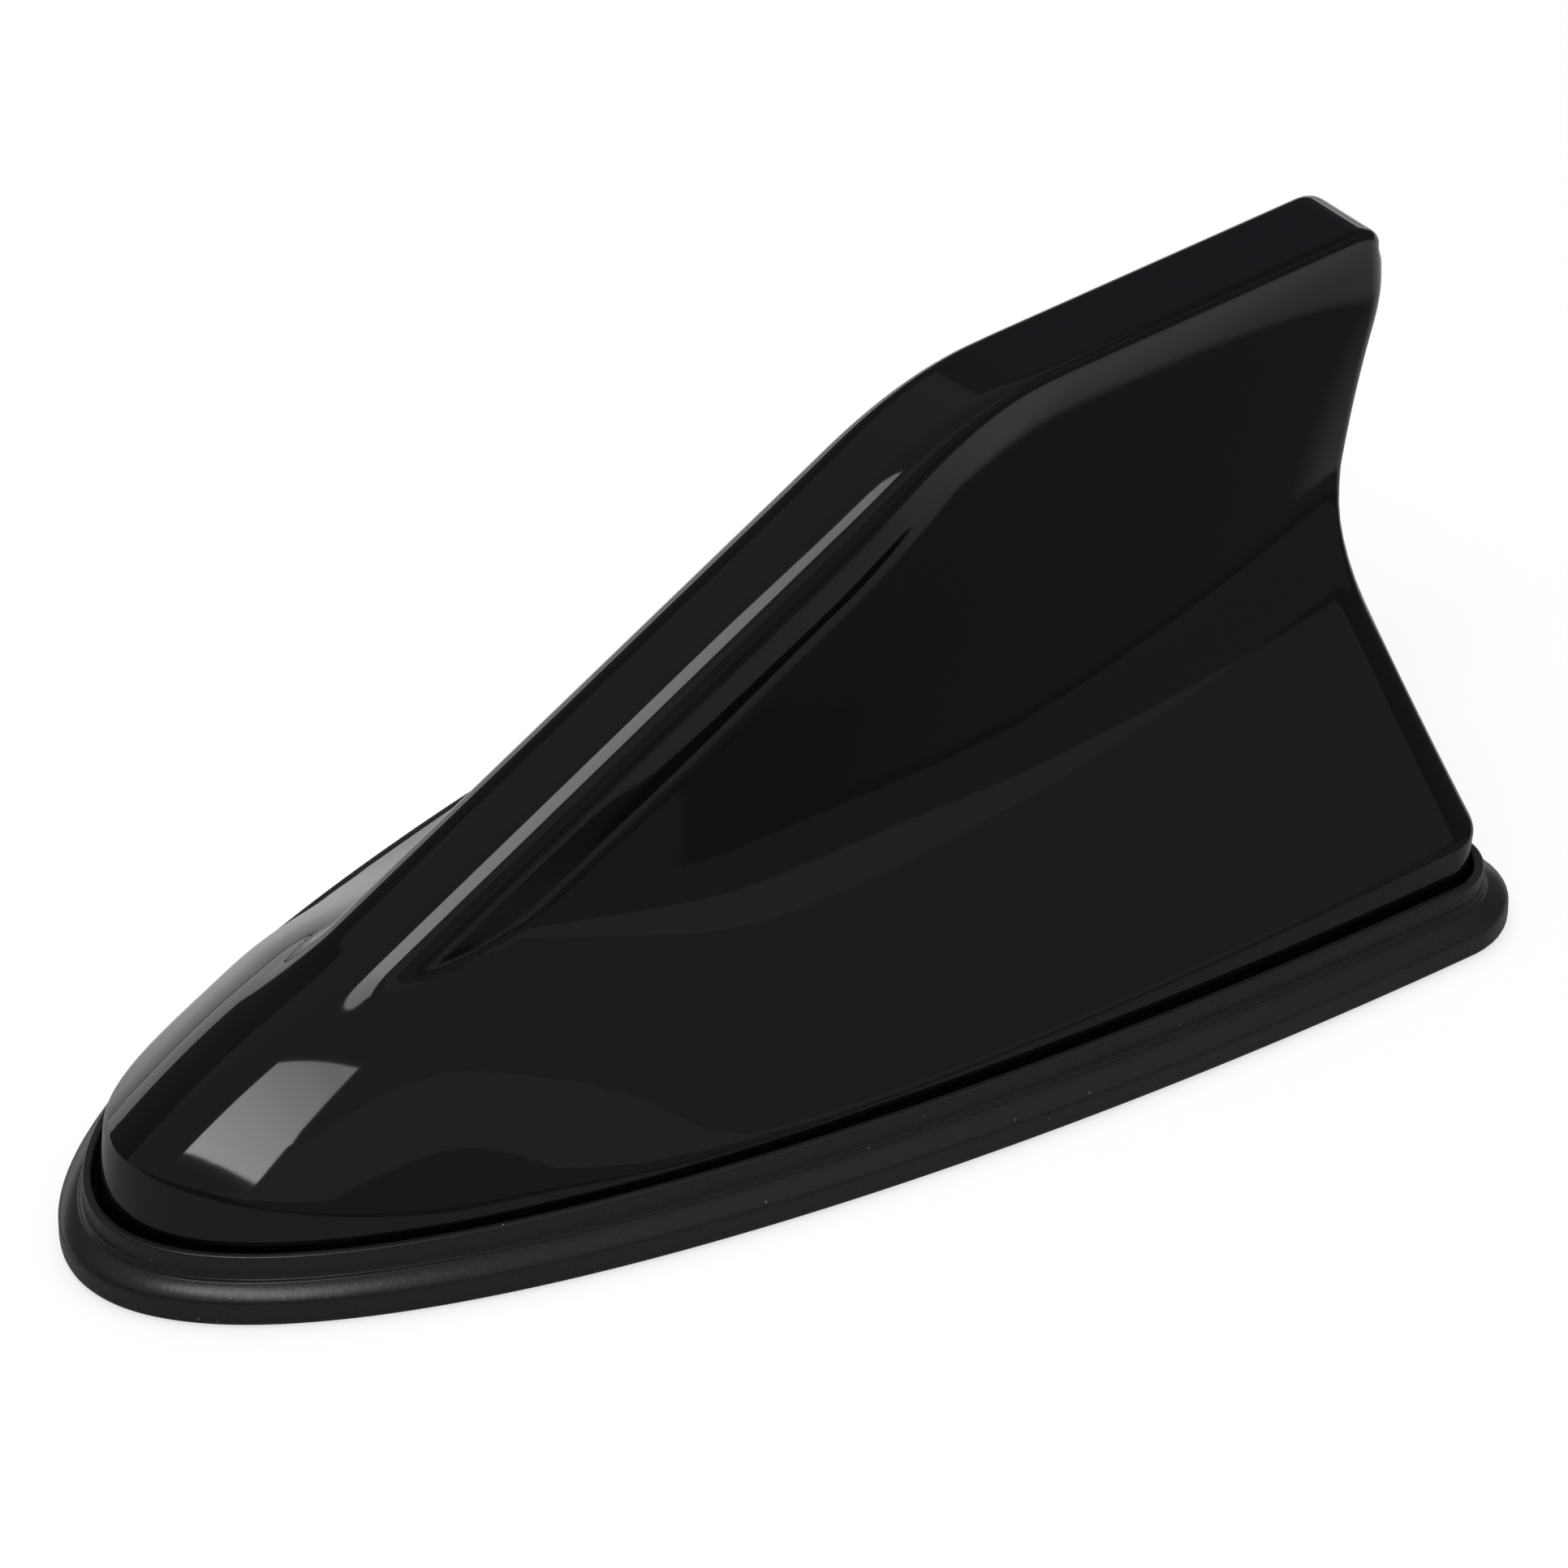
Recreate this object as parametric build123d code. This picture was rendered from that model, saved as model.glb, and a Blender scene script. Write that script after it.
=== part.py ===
from build123d import *
import os
from math import atan, cos, radians, sin, sqrt, tan

# Shark fin aerial for a car roof. Millimetres. X runs from the nose to the tail, Z up from the roof.

# Base, seen from above: half an ellipse, cut square across near its widest place
foot_length = 158.0         # gasket foot from the nose to the rear edge
tip_overhang = 12.0         # how far the tip of the fin stands behind the gasket
lip_half_width = 44.3       # widest half width of the ellipse at the gasket's lip
ellipse_reach = 20.0        # the ellipse's centre lies this far behind the lip's rear edge
rear_corner = 6.6           # corner radius of the lip, seen from above
corner_least = 1.0          # corner radius kept on the inmost outlines

# Rubber gasket
foot_flare = 2.9            # how far the foot spreads beyond the lip
foot_height = 4.5           # roof to the step under the lip
foot_top_round = 2.4
foot_low_round = 1.2
lip_height = 7.3            # roof to the top of the lip
lip_thickness = 1.1
flange_thickness = 3.2      # inner flange, clamped under the plate
flange_width = 7.0          # lip's outer face to the gasket's inner edge

# Cover: skirt, walls and tongue
shadow_gap = 1.05           # open groove between lip and skirt
skirt_low = 7.0             # lower edge of the skirt
wall = 2.3
tongue_step = 1.0           # the tongue stands this far inside the skirt's face
tongue_thickness = 1.6
hull_thicken = 1.2          # the sloping hull is this much thicker, measured upright, than the wall

# Cover: spine, side view
spine_half_width = 5.7
spine_edge_round = 1.9
toe_run = 33.0              # nose to where the spine leaves the dome
spine_root = 8.0            # the spine runs on into the dome this far ahead of its toe
toe_height = 26.3
slope_angle = 25.8          # front slope
bend_radius = 48.0
top_height = 64.0           # top of the fin at the tip
top_angle = 1.0             # the top still climbs a little towards the tip
tip_round = 5.0
band_depth = 9.3            # depth of the spine's side band at the bend
band_depth_tail = 12.0
band_depth_toe = 13.0
trail_lean = 6.65           # skirt's rear edge to the trailing edge at mid height
trail_mid_height = 30.0
tip_drop = 8.0              # the trailing edge turns upright this far below the top

# Cover: the dome at the nose drops off its ridge as curve * y * y
nose_ridge = 13.8           # ridge at the very nose
nose_curve = 0.044
dome_ridge = 21.2           # ridge halfway from the nose to the toe
toe_ridge = 26.2            # beside the spine's toe
toe_curve = 0.031

# Cover: the flanks behind it fall away from a rounded ridge that lies inside the blade
flank_run = 14.0            # behind the toe, the dome runs out into flat flanks over this length
flank_ridge = 27.2
flank_slope = 0.63
mid_ridge = 31.6            # halfway along the flanks
mid_slope = 0.569
tail_setback = 5.0          # the tail's sizes are given this far ahead of the tip
tail_ridge = 38.6
tail_slope = 0.648
ridge_round = 3.0
stern_round = 9.0           # over this length the hull rounds down to its rear face
stern_drop = 6.0            # by this much

# Cover: side panels of the blade, each a flat strip that turns outward onto the hull
panel_half_top = 4.5        # half thickness of the blade under the band
panel_run = 9.0             # the panels begin this far behind the toe
panel_beyond = 10.0         # they are drawn this far past the tip, then cut to the trailing edge
knee_front = (6.0, 22.8)    # half width and height of the knee between panel and hull, at its front
knee_mid = (14.1, 23.5)     # halfway
knee_tail = (9.0, 32.6)
knee_round_front = 2.0      # rounding of the knee
knee_round_tail = 13.0
knee_foot = 8.0             # how far the panel's foot reaches out past the knee, at its front
knee_foot_tail = 10.0       # and this much more at the tail
knee_dip = 9.0              # degrees by which the panel's foot sinks under the hull
rear_round = 3.6            # rounding of the trailing edge

# Base plate, pad and grommet
plate_clearance = 0.2
plate_flange_thickness = 2.0
plate_low = 1.2             # underside of the plate, and the pad's thickness
pad_margin = 2.0
grommet_setback = 17.1      # lip's rear edge to the grommet
grommet_hole = 4.2          # radius of the hole in the plate
grommet_bore = 2.5
grommet_rim = 1.4
grommet_rim_thickness = 1.2
grommet_taper = 0.5
pad_window_clearance = 1.0

# Screws: cover, board and holder
front_screw_run = 23.0      # nose to the front screw
rear_screw_setback = 16.1   # lip's rear edge to the rear screws
rear_screw_inset = 14.3     # widest half width to the rear screws
mid_screw_inset = 20.3      # and to the middle screws
boss_radius = 3.4
screw_clearance = 0.1
cover_screw_radius = 1.4
cover_screw_head = 2.7
cover_screw_head_height = 1.8
cover_screw_bite = 6.0
small_screw_radius = 1.1
small_screw_head = 2.1
small_screw_head_height = 1.4
board_screw_bite = 3.2

# Board and what stands on it
board_run = 43.0            # nose to the board's front edge
board_setback = 24.1        # lip's rear edge to the board's rear edge
board_half_width = 15.0
board_corner = 2.0
board_thickness = 1.6
standoff_height = 3.8
standoff_radius = 2.6
standoff_inset = 4.0
can_setback = 8.0           # board's front edge to the can
can_length = 25.0
can_half_width = 10.5
can_height = 5.0
can_sheet = 0.4
can_corner = 1.5
chip_size = (6.0, 5.0, 1.1)
chip_bevel = 0.2
capacitor_size = (1.6, 0.8, 0.8)
resistor_size = (1.6, 0.8, 0.45)
inductor_size = (2.5, 2.0, 1.6)
chip_apart = 2.5            # free space between the chip and the small parts beside it
clamp_setback = 5.0         # board's rear edge to the clamp
clamp_length = 4.0
clamp_bore = 2.0
clamp_foot = 3.0
clamp_sheet = 0.6

# Coil, holder and capacity plate
coil_run = 11.0             # can to the coil's middle
bobbin_radius = 3.0
bobbin_flange = 4.6
bobbin_flange_thickness = 1.2
coil_turns = 2.5
coil_pitch = 2.6
coil_wire = 0.45            # half the thickness of the square wire
coil_clearance = 0.05
strip_sheet = 0.4
strip_half_width = 1.5
holder_gap_front = 7.4      # bobbin's flange to the holder's foot
holder_gap_rear = 1.0       # holder's foot to the clamp
holder_foot_half = 7.0
holder_foot_thickness = 2.0
holder_web = 1.6
holder_screw_y = 4.2
hat_run = 3.7               # end of the spine's bend to the capacity plate
hat_setback = 11.0          # capacity plate to the tip
hat_drop = 4.6              # top of the fin down to the capacity plate
strip_lap = 4.0             # length of the strip's level end, ahead of the capacity plate
hat_half_width = 2.6
hat_sheet = 0.4
rail_height = 1.8
foam_margin = 6.0

# Places worked out from the sizes above
nose_x = -(foot_length + tip_overhang) / 2
tip_x = -nose_x
lip_nose = nose_x + foot_flare
lip_rear = nose_x + foot_length - foot_flare
ellipse_x = lip_rear + ellipse_reach
ellipse_long = ellipse_x - lip_nose
skirt_inset = lip_thickness + shadow_gap
skirt_nose = lip_nose + skirt_inset
skirt_rear = lip_rear - skirt_inset
toe_x = nose_x + toe_run
dome_x = (skirt_nose + toe_x) / 2
flank_x = toe_x + flank_run
tail_x = tip_x - tail_setback
mid_x = (flank_x + tail_x) / 2
panel_front_x = toe_x + panel_run
panel_mid_x = (panel_front_x + tail_x) / 2
trail_mid_x = skirt_rear + trail_lean
trail_top_height = top_height - tip_drop
slope_rise = tan(radians(slope_angle))
top_rise = tan(radians(top_angle))
bend_x = (top_height - tip_x * top_rise - toe_height + toe_x * slope_rise) / (slope_rise - top_rise)
bend_z = top_height - (tip_x - bend_x) * top_rise
bend_run = bend_radius * tan(radians(slope_angle - top_angle) / 2)
tongue_inset = skirt_inset + tongue_step
plate_inset = tongue_inset + tongue_thickness + plate_clearance
plate_step_inset = flange_width + plate_clearance
plate_top = flange_thickness + plate_flange_thickness
board_low = plate_top + standoff_height
board_top = board_low + board_thickness
board_front = nose_x + board_run
board_rear = lip_rear - board_setback
standoffs = [(x, y) for x in (board_front + standoff_inset, board_rear - standoff_inset)
             for y in (-board_half_width + standoff_inset, board_half_width - standoff_inset)]
grommet_x = lip_rear - grommet_setback
front_screw_x = nose_x + front_screw_run
rear_screw_x = lip_rear - rear_screw_setback
mid_screw_x = (front_screw_x + rear_screw_x) / 2
mid_screw_y = lip_half_width - mid_screw_inset
rear_screw_y = lip_half_width - rear_screw_inset
cover_screw_places = [(front_screw_x, 0), (mid_screw_x, mid_screw_y), (mid_screw_x, -mid_screw_y),
                      (rear_screw_x, rear_screw_y), (rear_screw_x, -rear_screw_y)]
can_front = board_front + can_setback
can_middle = can_front + can_length / 2
chip_reach_x = chip_size[0] / 2 + chip_apart
chip_reach_y = chip_size[1] / 2 + chip_apart
capacitor_places = [(can_middle + x, y) for x in (-chip_reach_x, 0, chip_reach_x)
                    for y in (-chip_reach_y, chip_reach_y)]
resistor_places = [(x, y + 2 * resistor_size[1] * (1 if y > 0 else -1)) for x, y in capacitor_places]
inductor_places = [(can_middle - chip_reach_x, 0), (can_middle + chip_reach_x, 0)]
clamp_x = board_rear - clamp_setback
coil_x = can_front + can_length + coil_run
holder_front = coil_x + bobbin_flange + holder_gap_front
holder_rear = clamp_x - holder_gap_rear
hat_front = bend_x + bend_run + hat_run
hat_rear = tip_x - hat_setback
hat_top = top_height - hat_drop
holder_middle = (holder_front + holder_rear) / 2
holder_screw_places = [(holder_middle, -holder_screw_y), (holder_middle, holder_screw_y)]
rail_top = hat_top - hat_sheet
strip_low = board_top + 2 * bobbin_flange_thickness + (coil_turns + 1) * coil_pitch + 2 * coil_wire
strip_foot_x = coil_x + bobbin_radius
strip_top_x = hat_front - strip_lap
strip_rise = (rail_top - strip_low) / (strip_top_x - strip_foot_x)
BASE = (Align.CENTER, Align.CENTER, Align.MIN)
HUNG = (Align.CENTER, Align.CENTER, Align.MAX)


def plan(inset):
    """Outline of the base from above, `inset` inside the outer face of the gasket's lip."""
    rear = lip_rear - inset
    oval = Pos(ellipse_x, 0) * Ellipse(ellipse_long - inset, lip_half_width - inset)
    keep = Pos(rear - foot_length, 0) * Rectangle(2 * foot_length, 4 * lip_half_width)
    face = oval & keep
    return fillet(face.vertices().sort_by(Axis.X)[-2:], max(rear_corner - inset, corner_least))


def through(places, x):
    """Value at x of the smooth curve through three places."""
    total = 0.0
    for i, (place, value) in enumerate(places):
        share = value
        for j, (other, _) in enumerate(places):
            if j != i:
                share = share * (x - other) / (place - other)
        total = total + share
    return total


def cross_plane(x):
    """Upright plane across the fin at x, with Y across and Z up."""
    return Plane(origin=(x, 0, 0), x_dir=(0, 1, 0), z_dir=(1, 0, 0))


def slope_line(x):
    """Height of the front slope of the spine at x."""
    return toe_height + (x - toe_x) * slope_rise


def trail_x(z):
    """Trailing edge of the fin at height z."""
    places = [(skirt_low, skirt_rear), (trail_mid_height, trail_mid_x), (trail_top_height, tip_x)]
    return through(places, z)


def spine_profile(inset):
    """Side view of the spine and its band as a flat face, drawn `inset` inside the outer skin."""
    front = toe_x - spine_root
    toe_low = (front, slope_line(front) - band_depth_toe)
    start_run, end_run = bend_run * cos(radians(slope_angle)), bend_run * cos(radians(top_angle))
    bend_start = (bend_x - start_run, bend_z - start_run * slope_rise)
    bend_end = (bend_x + end_run, bend_z + end_run * top_rise)
    bend_low = (bend_x, bend_z - band_depth)
    tail_low = (trail_x(top_height - band_depth_tail), top_height - band_depth_tail)
    crest = ((bend_low[0] + tail_low[0]) / 2, top_height - band_depth)
    line = Line((front, slope_line(front)), bend_start)
    line += RadiusArc(bend_start, bend_end, bend_radius)
    line += Line(bend_end, (tip_x, top_height))
    line += Line((tip_x, top_height), (tip_x, trail_top_height))
    line += Line((tip_x, trail_top_height), tail_low)
    line += Polyline(tail_low, crest, bend_low, toe_low, (front, slope_line(front)))
    face = make_face(line)
    corner = face.vertices().sort_by_distance((tip_x, top_height, 0))[0]
    face = fillet(corner, tip_round)
    if inset:
        face = offset(face, -inset, kind=Kind.INTERSECTION)
    return face


def spine_solid(inset):
    """The spine: its side view drawn out to full width with every long edge rounded."""
    half = spine_half_width - inset
    solid = extrude(Plane.XZ * spine_profile(inset), half, both=True)
    edges = solid.edges().filter_by(lambda e: abs(abs(e.center().Y) - half) < 0.01)
    return fillet(edges, spine_edge_round) if not inset else solid


def tail_block(inset):
    """Everything ahead of the trailing edge: straight above the skirt, then a hollow curve to the tip."""
    low, high, ahead = -top_height, 2 * top_height, 2 * nose_x
    lean = (trail_mid_x - skirt_rear) / (trail_mid_height - skirt_low)
    foot = (trail_mid_x - inset - lean * (trail_mid_height - low), low)
    middle = (trail_mid_x - inset, trail_mid_height)
    tip = (tip_x - inset, trail_top_height)
    line = Line((ahead, low), foot) + Line(foot, middle) + TangentArc(middle, tip, tangent=(lean, 1))
    line += Polyline(tip, (tip_x - inset, high), (ahead, high), (ahead, low))
    return extrude(Plane.XZ * make_face(line), 2 * lip_half_width, both=True)


def roof_height(x, y):
    """Height of the dome or hull over the place x, y: one runs into the other just behind the toe."""
    ridge = through([(skirt_nose, nose_ridge), (dome_x, dome_ridge), (toe_x, toe_ridge)], x)
    curve = nose_curve + (toe_curve - nose_curve) * (x - skirt_nose) / (toe_x - skirt_nose)
    dome = ridge - curve * y ** 2
    ridge = through([(flank_x, flank_ridge), (mid_x, mid_ridge), (tail_x, tail_ridge)], x)
    slope = through([(flank_x, flank_slope), (mid_x, mid_slope), (tail_x, tail_slope)], x)
    flank = ridge - slope * (sqrt(y ** 2 + ridge_round ** 2) - ridge_round / 2)
    share = min(max((x - toe_x) / (flank_x - toe_x), 0.0), 1.0)
    share = share * share * (3 - 2 * share)
    height = dome * (1 - share) + flank * share
    near = min(max(1 - (trail_x(height) - x) / stern_round, 0.0), 2.0)
    return height - stern_drop * near ** 2


def hull_roof(inset):
    """Block under the dome and hull, reaching past the skirt on every side."""
    columns, rows = 30, 10
    ahead, reach = skirt_nose - skirt_inset, lip_half_width
    grid = []
    for i in range(columns + 1):
        x = ahead + (tip_x - ahead) * i / columns
        across = [reach * (2 * j / rows - 1) for j in range(rows + 1)]
        grid.append([Vector(x, y, roof_height(x, y) - inset) for y in across])
    skin = Face.make_surface_from_array_of_points(grid, tol=0.05)
    return extrude(skin, 2 * top_height, dir=(0, 0, -1))


def hull_block(inset, low):
    """Hull with its upright skirt, from the level `low` up."""
    depth = skirt_inset + inset
    oval = Pos(ellipse_x, 0, low) * Ellipse(ellipse_long - depth, lip_half_width - depth)
    block = extrude(oval, tail_ridge - low) & tail_block(inset)
    corners = block.edges().filter_by(lambda e: e.center().Z < tail_ridge - 1 and e.center().Z > low + 1)
    block = fillet(corners, max(rear_corner - inset, corner_least))
    return block & hull_roof(inset * hull_thicken)


def blade_block(inset):
    """Blade between its two side panels, up to the middle of the spine's band."""
    faces = []
    sections = 6
    for i in range(sections + 1):
        x = panel_front_x + (tip_x + panel_beyond - panel_front_x) * i / sections
        along = (x - panel_front_x) / (tail_x - panel_front_x)
        top = min(slope_line(x), top_height) - band_depth / 2
        knees = [(panel_front_x, knee_front), (panel_mid_x, knee_mid), (tail_x, knee_tail)]
        half = through([(place, knee[0]) for place, knee in knees], x)
        knee = through([(place, knee[1]) for place, knee in knees], x)
        round_off = knee_round_front + (knee_round_tail - knee_round_front) * along
        sink = tan(atan(flank_slope) + radians(knee_dip))
        foot = knee_foot + knee_foot_tail * along
        side = [(panel_half_top - inset, top), (half - inset, knee - inset / 2),
                (half + foot - inset, knee - inset / 2 - foot * sink)]
        line = FilletPolyline(*side, radius=round_off)
        line += FilletPolyline(*[(-y, z) for y, z in side], radius=round_off)
        line += Line(side[0], (-side[0][0], top))
        line += Line(side[2], (-side[2][0], side[2][1]))
        faces.append(cross_plane(x) * make_face(line))
    blade = loft(faces) & tail_block(inset)
    rear = blade.faces().sort_by(Axis.X)[-2:]
    edges = [e for e in ShapeList(rear).edges() if abs(e.center().Y) > 2 and e.bounding_box().size.Z > 3]
    return fillet(edges, rear_round) if not inset else blade


def outer_form(inset, low):
    """Hull, blade and spine together as one solid."""
    return hull_block(inset, low) + blade_block(inset) + spine_solid(inset)


def ring(outer_inset, inner_inset, low, high):
    """Upright ring that follows the outline of the base."""
    return Pos(0, 0, low) * extrude(plan(outer_inset) - plan(inner_inset), high - low)


def fin_cover():
    """Moulded cover: shell, tongue that stands on the gasket, and screw bosses."""
    outer = outer_form(0.0, skirt_low)
    cover = outer - outer_form(wall, skirt_low - 1)
    cover += ring(tongue_inset, tongue_inset + tongue_thickness, flange_thickness, skirt_low + tongue_step)
    for x, y in cover_screw_places:
        boss = Pos(x, y, plate_top) * Cylinder(boss_radius, top_height, align=BASE)
        pilot = Pos(x, y, plate_top) * Cylinder(cover_screw_radius, cover_screw_bite, align=BASE)
        cover += boss & outer_form(wall / 2, plate_top - 1)
        cover -= pilot
    return cover


def sealing_gasket():
    """Rubber gasket: flared foot, upright lip, and a flange clamped under the cover and the plate."""
    levels = []
    for turn in (0, 30, 60, 90):
        rise, draw = 1 - cos(radians(turn)), 1 - sin(radians(turn))
        levels.append((foot_low_round * rise, foot_low_round * draw - foot_flare))
    for turn in (0, 30, 60, 90):
        rise, draw = 1 - sin(radians(turn)), 1 - cos(radians(turn))
        levels.append((foot_height - foot_top_round * rise, foot_top_round * draw - foot_flare))
    foot = loft([Pos(0, 0, z) * plan(inset) for z, inset in levels], ruled=True)
    lip = Pos(0, 0, foot_height) * extrude(plan(0.0), lip_height - foot_height)
    groove = Pos(0, 0, flange_thickness) * extrude(plan(lip_thickness), lip_height)
    return foot + lip - groove - extrude(plan(flange_width), lip_height)


def base_plate():
    """Moulded plate with stand-offs for the board, screw holes sunk from below and the cord's hole."""
    plate = Pos(0, 0, flange_thickness) * extrude(plan(plate_inset), plate_flange_thickness)
    plate += Pos(0, 0, plate_low) * extrude(plan(plate_step_inset), flange_thickness - plate_low)
    pilot = Cylinder(small_screw_radius, board_screw_bite, align=HUNG)
    for x, y in standoffs:
        plate += Pos(x, y, plate_top) * Cylinder(standoff_radius, standoff_height, align=BASE)
        plate -= Pos(x, y, board_low) * pilot
    for x, y in cover_screw_places:
        plate -= Pos(x, y, 0) * Cylinder(cover_screw_radius + screw_clearance, plate_top, align=BASE)
        sink = plate_low + cover_screw_head_height
        plate -= Pos(x, y, 0) * Cylinder(cover_screw_head + screw_clearance, sink, align=BASE)
    return plate - Pos(grommet_x, 0, 0) * Cylinder(grommet_hole, plate_top, align=BASE)


def adhesive_pad():
    """Foam tape under the plate, with a window round the grommet."""
    window = Pos(grommet_x, 0) * Circle(grommet_hole + grommet_rim + pad_window_clearance)
    return extrude(plan(plate_step_inset + pad_margin) - window, plate_low)


def cable_grommet():
    """Rubber grommet in the plate's hole: a neck between two rims."""
    rim = grommet_hole + grommet_rim
    top = plate_top + grommet_rim_thickness
    side = Polyline((grommet_bore, 0), (rim, 0), (rim, plate_low), (grommet_hole, plate_low),
                    (grommet_hole, plate_top), (rim, plate_top), (rim - grommet_taper, top),
                    (grommet_bore, top), close=True)
    return Pos(grommet_x, 0, 0) * revolve(Plane.XZ * make_face(side), Axis.Z)


def screw(radius, length, head, head_height):
    """Flat-headed screw standing on its tip at Z 0."""
    top = length + head_height
    side = Polyline((0, 0), (radius, 0), (radius, length), (head, length), (head, top), (0, top),
                    close=True)
    return revolve(Plane.XZ * make_face(side), Axis.Z)


def cover_screws():
    """Five screws, heads sunk in the plate's underside."""
    length = plate_top - plate_low - cover_screw_head_height + cover_screw_bite
    one = screw(cover_screw_radius, length, cover_screw_head, cover_screw_head_height)
    one = Pos(0, 0, plate_top + cover_screw_bite) * Rot(180, 0, 0) * one
    return Compound(children=[Pos(x, y, 0) * one for x, y in cover_screw_places])


def amplifier_board():
    """Circuit board with its screw holes."""
    outline = RectangleRounded(board_rear - board_front, 2 * board_half_width, board_corner)
    holes = [Pos(x, y) * Circle(small_screw_radius + screw_clearance) for x, y in standoffs]
    holes += [Pos(x, y) * Circle(small_screw_radius) for x, y in holder_screw_places]
    outline = Pos((board_front + board_rear) / 2, 0) * outline
    return Pos(0, 0, board_low) * extrude(outline - holes, board_thickness)


def board_screws():
    """Four screws that hold the board to the plate's stand-offs."""
    length = board_thickness + board_screw_bite
    one = screw(small_screw_radius, length, small_screw_head, small_screw_head_height)
    return Compound(children=[Pos(x, y, board_low - board_screw_bite) * one for x, y in standoffs])


def holder_screws():
    """Two screws that hold the foot of the holder to the board."""
    length = board_thickness + holder_foot_thickness
    one = screw(small_screw_radius, length, small_screw_head, small_screw_head_height)
    return Compound(children=[Pos(x, y, board_low) * one for x, y in holder_screw_places])


def plate_holder():
    """Moulded holder: screwed foot, thin web up inside the blade, and a rail under the capacity plate."""
    foot_top = board_top + holder_foot_thickness
    length = holder_rear - holder_front
    foot = Box(length, 2 * holder_foot_half, holder_foot_thickness, align=BASE)
    foot = Pos(holder_middle, 0, board_top) * foot
    hole = Cylinder(small_screw_radius + screw_clearance, holder_foot_thickness, align=BASE)
    for x, y in holder_screw_places:
        foot -= Pos(x, y, board_top) * hole
    meet = strip_low + (holder_front - strip_foot_x) * strip_rise
    side = Polyline((holder_front, foot_top), (holder_front, meet), (strip_top_x, rail_top),
                    (hat_rear, rail_top), (hat_rear - rail_height, rail_top - rail_height),
                    (holder_rear, foot_top), close=True)
    web = extrude(Plane.XZ * make_face(side), holder_web / 2, both=True)
    rail_half = hat_half_width - hat_sheet
    rail = Box(hat_rear - hat_front, 2 * rail_half, rail_height, align=HUNG)
    rail = Pos((hat_front + hat_rear) / 2, 0, rail_top) * rail
    return foot + web + rail


def capacity_plate():
    """Folded sheet-metal plate that sits over the holder's rail."""
    leg = rail_height + hat_sheet
    middle = Pos((hat_front + hat_rear) / 2, 0, hat_top)
    outer = Box(hat_rear - hat_front, 2 * hat_half_width, leg, align=HUNG)
    inner = Box(hat_rear - hat_front, 2 * (hat_half_width - hat_sheet), rail_height, align=HUNG)
    return middle * (outer - Pos(0, 0, -hat_sheet) * inner)


def foam_strip():
    """Foam strip that fills the space between the capacity plate and the top of the cover."""
    front, rear = hat_front + foam_margin, hat_rear - foam_margin
    under = top_height - wall / cos(radians(top_angle))
    side = Polyline((front, hat_top), (rear, hat_top), (rear, under - (tip_x - rear) * top_rise),
                    (front, under - (tip_x - front) * top_rise), close=True)
    return extrude(Plane.XZ * make_face(side), hat_half_width - hat_sheet, both=True)


def coil_former():
    """Bobbin: a post between two flanges."""
    top = strip_low - board_top
    neck_low, neck_high = bobbin_flange_thickness, top - bobbin_flange_thickness
    side = Polyline((0, 0), (bobbin_flange, 0), (bobbin_flange, neck_low), (bobbin_radius, neck_low),
                    (bobbin_radius, neck_high), (bobbin_flange, neck_high), (bobbin_flange, top), (0, top),
                    close=True)
    return Pos(coil_x, 0, board_top) * revolve(Plane.XZ * make_face(side), Axis.Z)


def helical_coil():
    """Wound coil that hugs the bobbin's post."""
    radius = bobbin_radius + coil_clearance + coil_wire
    path = Helix(coil_pitch, coil_turns * coil_pitch, radius)
    start = Plane(path @ 0, x_dir=(1, 0, 0), z_dir=path % 0)
    wire = start * Rectangle(2 * coil_wire, 2 * coil_wire)
    low = board_top + bobbin_flange_thickness + coil_pitch / 2 + coil_wire
    return Pos(coil_x, 0, low) * sweep(wire, path, is_frenet=True)


def contact_strip():
    """Bent strip from the top of the bobbin up the holder's front edge to the capacity plate."""
    shift = strip_sheet * tan(atan(strip_rise) / 2)
    start = coil_x - bobbin_radius
    side = Polyline((start, strip_low), (strip_foot_x, strip_low), (strip_top_x, rail_top),
                    (hat_front, rail_top), (hat_front, rail_top + strip_sheet),
                    (strip_top_x - shift, rail_top + strip_sheet),
                    (strip_foot_x - shift, strip_low + strip_sheet), (start, strip_low + strip_sheet),
                    close=True)
    return extrude(Plane.XZ * make_face(side), strip_half_width, both=True)


def shield_can():
    """Folded lid over the amplifier, open below."""
    lid = extrude(RectangleRounded(can_length, 2 * can_half_width, can_corner), can_height)
    inner_half = can_half_width - can_sheet
    inner = RectangleRounded(can_length - 2 * can_sheet, 2 * inner_half, can_corner - can_sheet)
    return Pos(can_middle, 0, board_top) * (lid - extrude(inner, can_height - can_sheet))


def blocks(size, places):
    """A group of equal small blocks on the board."""
    one = Box(*size, align=BASE)
    return Compound(children=[Pos(x, y, board_top) * one for x, y in places])


def amplifier_chip():
    """Chip package with a bevelled top."""
    block = Box(*chip_size, align=BASE)
    block = chamfer(block.edges().group_by(Axis.Z)[-1], chip_bevel)
    return Pos(can_middle, 0, board_top) * block


def cable_clamp():
    """Saddle of bent strip: an arch over the cord's place and two feet soldered to the board."""
    arch = Circle(clamp_bore + clamp_sheet) - Circle(clamp_bore)
    arch = arch & (Pos(0, clamp_bore) * Rectangle(4 * clamp_bore, 2 * clamp_bore))
    foot = Rectangle(clamp_foot, clamp_sheet, align=(Align.MIN, Align.MIN))
    side = arch + Pos(clamp_bore, 0) * foot + mirror(Pos(clamp_bore, 0) * foot, about=Plane.YZ)
    return Pos(0, 0, board_top) * extrude(cross_plane(clamp_x) * side, clamp_length)


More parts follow.
